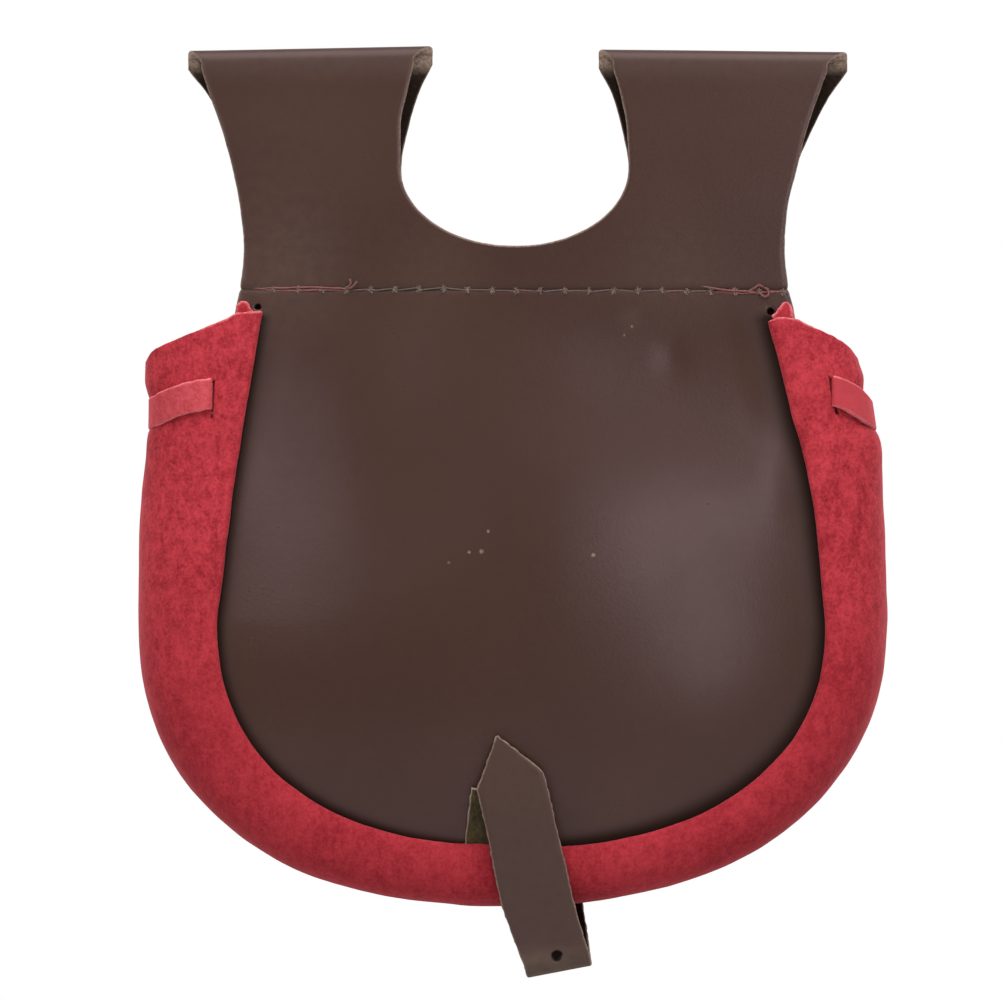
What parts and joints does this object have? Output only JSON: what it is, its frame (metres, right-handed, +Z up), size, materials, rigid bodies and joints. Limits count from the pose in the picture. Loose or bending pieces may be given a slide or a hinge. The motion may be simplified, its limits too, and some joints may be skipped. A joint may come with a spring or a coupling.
{
  "type": "belt pouch",
  "caption": "Belt pouch with a smooth leather back folded into belt loops, a suede drawstring bag sewn round it, a front flap and a pointed closing strap.",
  "frame": {"origin": "where the upper edge of a belt bears inside the loops, midway between the loops and between their layers", "axes": "+Z up as the pouch hangs, -Y out of the smooth leather back, +Y out of the swelling suede front, X across"},
  "size_m": [0.1872, 0.0585, 0.2324],
  "materials": {
    "brown_leather": "satin smooth grain",
    "flesh_side": "matte flesh side",
    "red_suede": "napped suede",
    "red_lace": "napped suede lace"
  },
  "bodies": {
    "root": {"back_panel": "brown_leather", "front_flap": "brown_leather", "suede_bag": "red_suede", "drawstring": "red_lace", "closure_strap": "brown_leather", "strap_tab": "flesh_side"}
  },
  "joints": []
}
